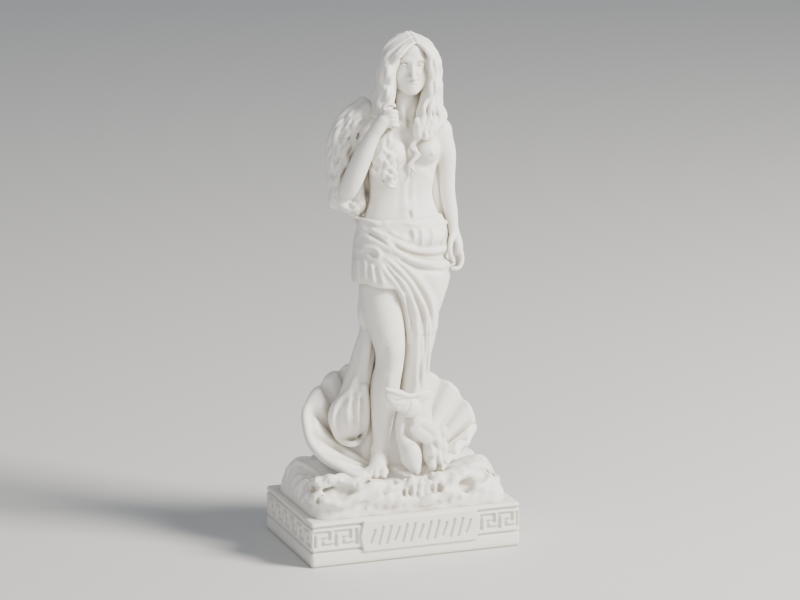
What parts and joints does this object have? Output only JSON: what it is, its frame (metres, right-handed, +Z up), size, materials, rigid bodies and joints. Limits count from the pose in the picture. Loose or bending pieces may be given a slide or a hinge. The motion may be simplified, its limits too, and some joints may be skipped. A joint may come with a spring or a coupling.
{
  "type": "classical goddess figurine",
  "caption": "Small cast figurine of a draped goddess standing in an open scallop shell on waves with a dolphin, over a plinth with a running key and a blank-marked plaque.",
  "frame": {"origin": "centre of the plinth's underside", "axes": "+Z up, -Y out of the front, the way the figure faces, +X towards the figure's left hand"},
  "size_m": [0.064, 0.0426, 0.15],
  "materials": {
    "alabaster": "warm white cast alabaster (stone powder in resin), satin, unpainted"
  },
  "bodies": {
    "root": {"aphrodite_statue": "alabaster"}
  },
  "joints": []
}
